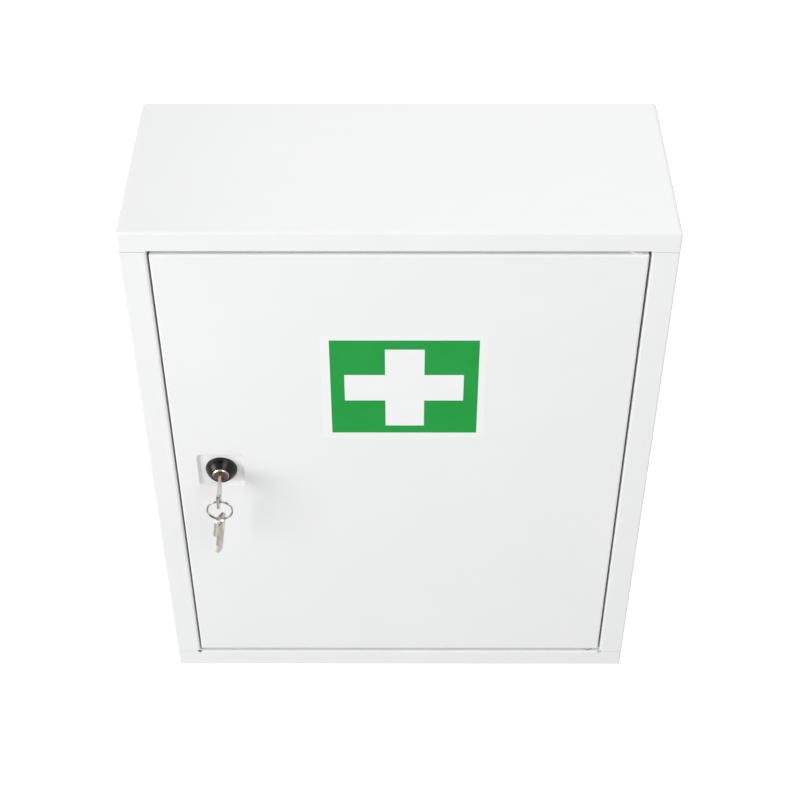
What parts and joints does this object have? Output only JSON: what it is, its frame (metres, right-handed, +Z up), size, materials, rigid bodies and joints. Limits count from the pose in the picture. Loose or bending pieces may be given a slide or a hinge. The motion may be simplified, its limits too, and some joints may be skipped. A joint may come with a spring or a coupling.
{
  "type": "lockable medicine cabinet",
  "caption": "White sheet-steel medicine cabinet with an inset hinged door, a quarter-turn cam lock with keys on a ring, and adjustable shelves.",
  "frame": {"origin": "Middle of the flat underside of the casing.", "axes": "+X to the right as seen from the front, +Y back toward the wall, +Z up. The door faces -Y."},
  "size_m": [0.36, 0.1823, 0.44],
  "materials": {
    "white_coat": "white powder coat, satin, fine orange peel",
    "zinc_plate": "bright zinc plated steel",
    "black_lacquer": "black lacquer, semi-gloss",
    "warm_nickel": "satin nickel, slightly warm",
    "key_nickel": "nickel plated brass, worn satin",
    "ring_steel": "nickel plated spring steel",
    "wafer_brass": "plain brass",
    "nylon": "natural nylon",
    "buffer_rubber": "black rubber"
  },
  "bodies": {
    "cabinet": {"casing": "white_coat", "front_frame": "white_coat", "back_panel": "white_coat", "upper_pivot_plate": "white_coat", "lower_pivot_plate": "white_coat", "upper_hinge_pin": "zinc_plate", "lower_hinge_pin": "zinc_plate", "lower_hinge_washer": "zinc_plate", "left_front_standard": "white_coat", "left_rear_standard": "white_coat", "right_front_standard": "white_coat", "right_rear_standard": "white_coat", "lower_shelf": "white_coat", "upper_shelf": "white_coat", "lower_shelf_clips": "zinc_plate", "upper_shelf_clips": "zinc_plate", "door_buffers": "buffer_rubber"},
    "door": {"door_panel": "white_coat", "door_stiffener": "white_coat", "upper_hinge_bush": "nylon", "lower_hinge_bush": "nylon", "lock_housing": "black_lacquer", "lock_washer": "zinc_plate", "lock_nut": "zinc_plate"},
    "plug": {"lock_plug": "warm_nickel", "lock_wafers": "wafer_brass", "stop_washer": "zinc_plate", "cam": "zinc_plate", "cam_screw": "zinc_plate"},
    "key": {"key": "key_nickel"},
    "ring": {"split_ring": "ring_steel"},
    "hanging_key": {"spare_key": "key_nickel"}
  },
  "joints": [
    {"name": "door_swing", "type": "hinge", "parent": "cabinet", "child": "door", "pos_m": [0.1525, -0.07, 0.22], "axis": [0, 0, 1], "range_deg": [0, 120]},
    {"name": "lock_turn", "type": "hinge", "parent": "door", "child": "plug", "pos_m": [-0.1287, -0.0689, 0.226], "axis": [0, 1, 0], "range_deg": [0, 90]},
    {"name": "key_pull", "type": "slide", "parent": "plug", "child": "key", "axis": [0, -1, 0], "range_m": [0, 0.0144]},
    {"name": "ring_swing", "type": "hinge", "parent": "key", "child": "ring", "pos_m": [-0.1287, -0.1012, 0.21865], "axis": [0, 1, 0], "range_deg": [-90, 90]},
    {"name": "spare_key_swing", "type": "hinge", "parent": "ring", "child": "hanging_key", "pos_m": [-0.12917, -0.1012, 0.20291], "axis": [0.9986, 0, -0.0523], "range_deg": [-70, 25]}
  ]
}
